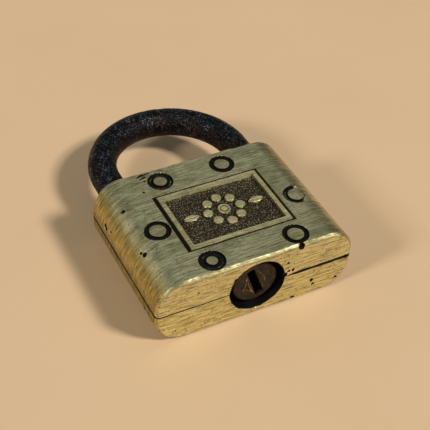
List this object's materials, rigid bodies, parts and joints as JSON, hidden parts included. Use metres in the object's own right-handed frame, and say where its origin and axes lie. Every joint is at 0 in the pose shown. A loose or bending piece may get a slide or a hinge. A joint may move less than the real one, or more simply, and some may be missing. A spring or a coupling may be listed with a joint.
{
  "type": "riveted padlock",
  "caption": "Small riveted brass padlock with a dark iron shackle, a sunk front panel and a turning keyway plug at its lower end.",
  "frame": {"origin": "centre of the flat back face, on the surface that the padlock lies on", "axes": "+Z out of the front face, +Y towards the shackle, +X towards the toe leg"},
  "size_m": [0.05, 0.0686, 0.0175],
  "materials": {
    "tarnished_brass_front": "brushed along the width, dull grey-green tarnish with dark dirt in the relief",
    "worn_brass_back": "brushed, warm and worn, with fine pits and dark spots",
    "rivet_brass": "flush heads, dull, with dirt around them",
    "dark_iron": "blackened and pitted, thin brown rust",
    "dirty_plug_brass": "dark brown dirt, worn through to brass in places",
    "ward_brass": "dull and oily",
    "inner_steel": "dull, darkened with old grease",
    "spring_steel": "dark wire"
  },
  "bodies": {
    "padlock_case": {"front_half": "tarnished_brass_front", "back_half": "worn_brass_back", "case_rivets": "rivet_brass", "heel_pin": "inner_steel", "shackle_spring": "spring_steel", "ward_plate_1": "ward_brass", "ward_plate_2": "ward_brass", "ward_plate_3": "ward_brass", "ward_plate_4": "ward_brass", "ward_spacer_1": "ward_brass", "ward_spacer_2": "ward_brass", "ward_spacer_3": "ward_brass", "latch_spring": "spring_steel"},
    "shackle_body": {"shackle": "dark_iron"},
    "plug_body": {"keyway_plug": "dirty_plug_brass"},
    "cam_body": {"cam": "ward_brass", "crank_pin": "inner_steel"},
    "latch_body": {"latch_bolt": "inner_steel"}
  },
  "joints": [
    {"name": "plug_turn", "type": "hinge", "parent": "padlock_case", "child": "plug_body", "pos_m": [0, -0.01655, 0.0088], "axis": [0, 1, 0], "range_deg": [0, 90]},
    {"name": "cam_turn", "type": "hinge", "parent": "padlock_case", "child": "cam_body", "pos_m": [0, -0.00445, 0.0088], "axis": [0, 1, 0], "range_deg": [0, 90]},
    {"name": "latch_slide", "type": "slide", "parent": "padlock_case", "child": "latch_body", "axis": [-1, 0, 0], "range_m": [0, 0.0045], "deforming": ["latch_spring"]},
    {"name": "shackle_lift", "type": "slide", "parent": "padlock_case", "child": "shackle_body", "axis": [0, 1, 0], "range_m": [0, 0.00926], "deforming": ["shackle_spring"]}
  ],
  "couplings": [
    {"joint": "plug_turn", "follows": "shackle_lift", "rad_per_m": 169.68},
    {"joint": "cam_turn", "follows": "shackle_lift", "rad_per_m": 169.68},
    {"joint": "latch_slide", "follows": "shackle_lift", "ratio": 0.4861}
  ]
}
